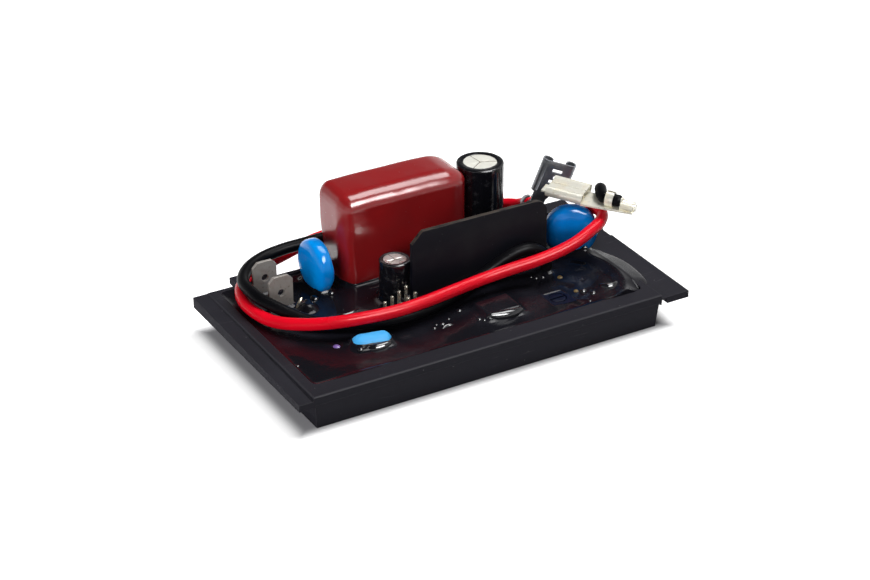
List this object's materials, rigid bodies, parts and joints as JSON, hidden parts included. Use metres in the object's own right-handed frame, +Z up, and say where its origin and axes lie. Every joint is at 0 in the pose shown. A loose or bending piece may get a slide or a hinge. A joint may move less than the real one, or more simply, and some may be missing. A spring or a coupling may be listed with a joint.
{
  "type": "potted voltage regulator",
  "caption": "Generator voltage regulator: circuit board cast in black resin in a flanged tray, with tall capacitors, a heat sink, tab terminals and two soft leads with push-on receptacles.",
  "frame": {"origin": "centre of the tray's bottom face between the box's end rims, on the surface it rests on", "axes": "+X along the tray to the end with the wide flange, +Y to the back where the tall capacitors stand, +Z up"},
  "size_m": [0.1062, 0.0626, 0.033],
  "materials": {
    "tray_plastic": "matt moulded, slightly pale edges",
    "casting_resin": "glossy cast surface with creeps and domes",
    "board_laminate": "satin laminate",
    "red_dip": "dipped gloss",
    "can_aluminium": "drawn, satin",
    "shrink_sleeve": "shrunk film, glossy",
    "bung_rubber": "matt",
    "blue_coating": "dipped gloss",
    "pale_blue_coating": "dipped gloss",
    "purple_coating": "dipped gloss",
    "black_anodised": "matt black",
    "moulding_compound": "fine matt",
    "dull_tin": "dull tin plate",
    "bright_tin": "bright tin plate with a warm cast",
    "trimmer_blue": "moulded",
    "resistor_coating": "lacquered",
    "red_cover": "soft silicone",
    "black_cover": "soft silicone, glossy"
  },
  "bodies": {
    "root": {"tray": "tray_plastic", "potting": "casting_resin", "circuit_board": "board_laminate", "film_capacitor": "red_dip", "tall_capacitor_can": "can_aluminium", "tall_capacitor_sleeve": "shrink_sleeve", "tall_capacitor_bung": "bung_rubber", "small_capacitor_can": "can_aluminium", "small_capacitor_sleeve": "shrink_sleeve", "small_capacitor_bung": "bung_rubber", "varistor_left": "blue_coating", "varistor_right": "blue_coating", "blue_capacitor": "pale_blue_coating", "bead_capacitor": "purple_coating", "heat_sink": "black_anodised", "power_transistor": "moulding_compound", "rear_blade": "dull_tin", "front_blade": "dull_tin", "header_base": "moulding_compound", "header_pins": "bright_tin", "bridge_rectifier": "moulding_compound", "trimmer": "trimmer_blue", "control_chip": "moulding_compound", "rectifier_diodes": "moulding_compound", "resistors": "resistor_coating", "red_lead": "red_cover", "black_lead": "black_cover", "red_lead_receptacle": "bright_tin", "black_lead_receptacle": "bright_tin"}
  },
  "joints": []
}
